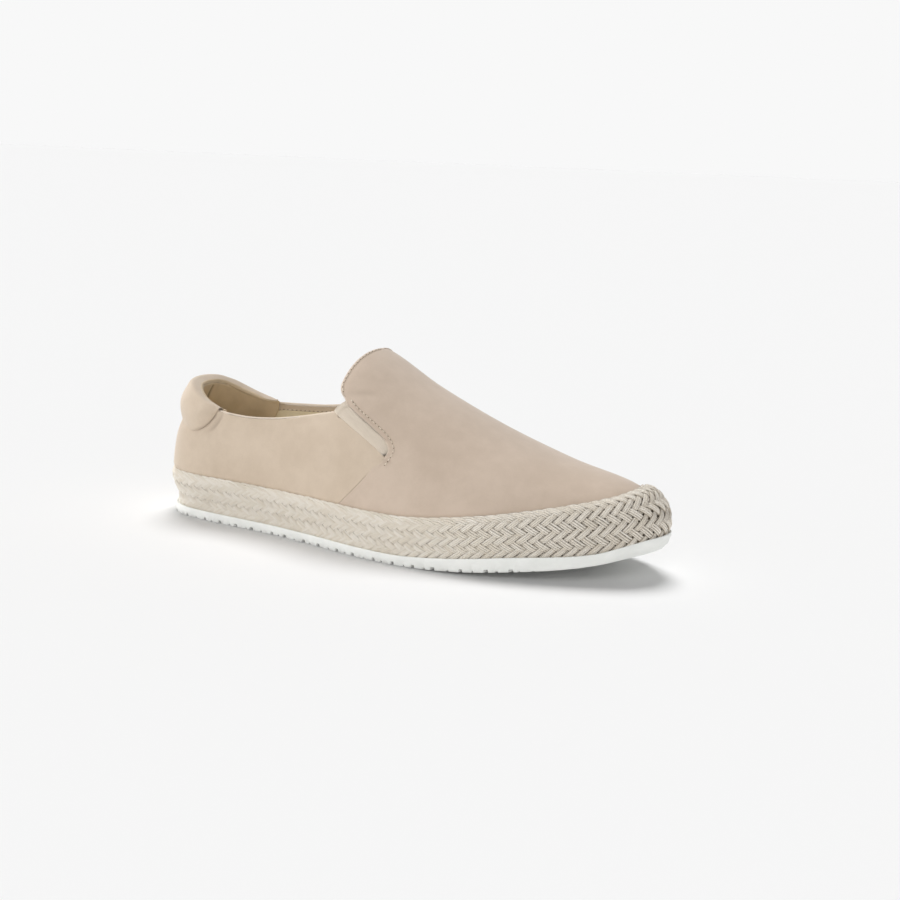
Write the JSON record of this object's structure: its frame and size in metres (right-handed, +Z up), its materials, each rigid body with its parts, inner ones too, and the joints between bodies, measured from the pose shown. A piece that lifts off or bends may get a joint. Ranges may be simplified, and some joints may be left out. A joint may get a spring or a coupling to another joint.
{
  "type": "loafer",
  "caption": "Men's slip-on loafer with a tall rounded tongue, elastic side gores, padded heel collar, braided jute sole band and thin rubber outsole.",
  "frame": {"origin": "on the floor, under the middle of the shoe's box", "axes": "+X towards the toe, +Y towards the inner (medial) side of this right shoe, +Z up"},
  "size_m": [0.2952, 0.1038, 0.1],
  "materials": {
    "rubber": "off-white moulded rubber, satin",
    "jute": "natural flat-braided jute",
    "lining": "olive tan lining leather",
    "nubuck": "sand-coloured nubuck, matt",
    "elastic": "ribbed elastic webbing"
  },
  "bodies": {
    "root": {"outsole": "rubber", "jute_midsole": "jute", "insole": "lining", "upper": "nubuck", "gore_lateral": "elastic", "gore_medial": "elastic", "heel_collar": "nubuck"}
  },
  "joints": []
}
